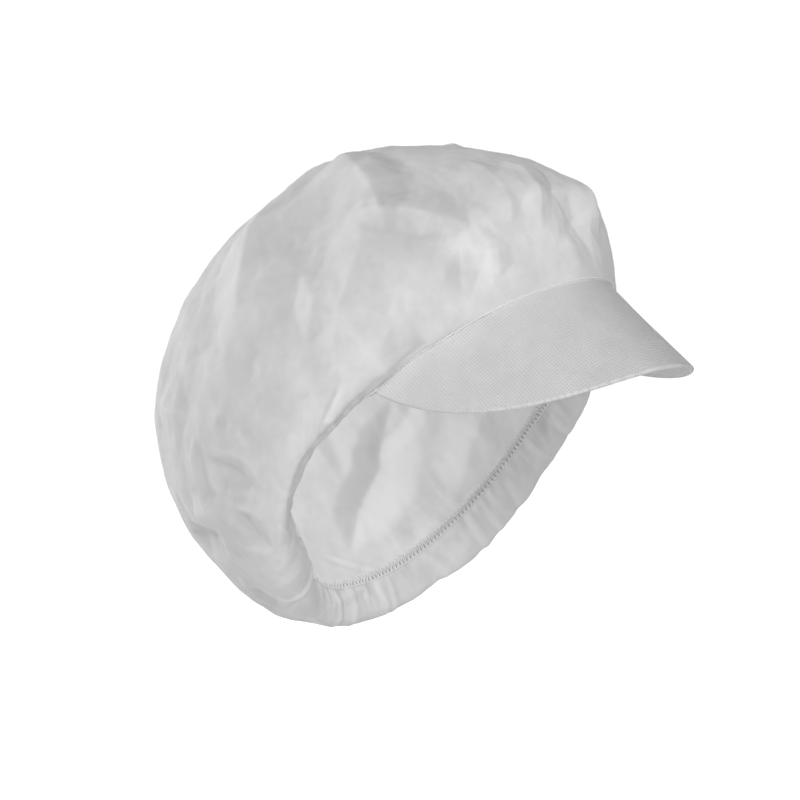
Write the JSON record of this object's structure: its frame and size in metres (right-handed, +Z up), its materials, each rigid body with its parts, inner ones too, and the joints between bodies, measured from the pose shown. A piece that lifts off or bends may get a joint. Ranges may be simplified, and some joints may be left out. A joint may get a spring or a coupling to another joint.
{
  "type": "peaked disposable mob cap",
  "caption": "Disposable nonwoven work cap: soft gathered bouffant crown, elasticated overlocked rim and a stiff embossed peak sewn to the forehead.",
  "frame": {"origin": "centre of the head opening: the middle of the oval that the sewn rim makes round the head", "axes": "+Z up as worn on an upright head, -Y to the front where the peak is, +X to the wearer's left; the head opening's plane is tilted 48 degrees about X, high at the forehead and low at the nape"},
  "size_m": [0.188, 0.2695, 0.2216],
  "materials": {
    "crown_nonwoven": "thin translucent white spunbond, softly crumpled",
    "peak_nonwoven": "stiff white point-bond embossed nonwoven",
    "stiffener": "matt stiff white interlining",
    "elastic": "thread-covered white elastic",
    "thread": "white spun polyester thread"
  },
  "bodies": {
    "cap_body": {"crown": "crown_nonwoven", "rim_elastic": "elastic", "rim_needle_thread": "thread", "rim_upper_looper_thread": "thread", "rim_lower_looper_thread": "thread", "peak_seam_needle_thread": "thread", "peak_seam_looper_thread": "thread"},
    "peak": {"peak_upper_ply": "peak_nonwoven", "peak_stiffener": "stiffener", "peak_lower_ply": "peak_nonwoven"}
  },
  "joints": [
    {"name": "peak_flex", "type": "hinge", "parent": "cap_body", "child": "peak", "pos_m": [0, -0.05688, 0.06317], "axis": [-1, 0, 0], "range_deg": [-8, 12], "stiffness_Nm_per_rad": 0.05}
  ]
}
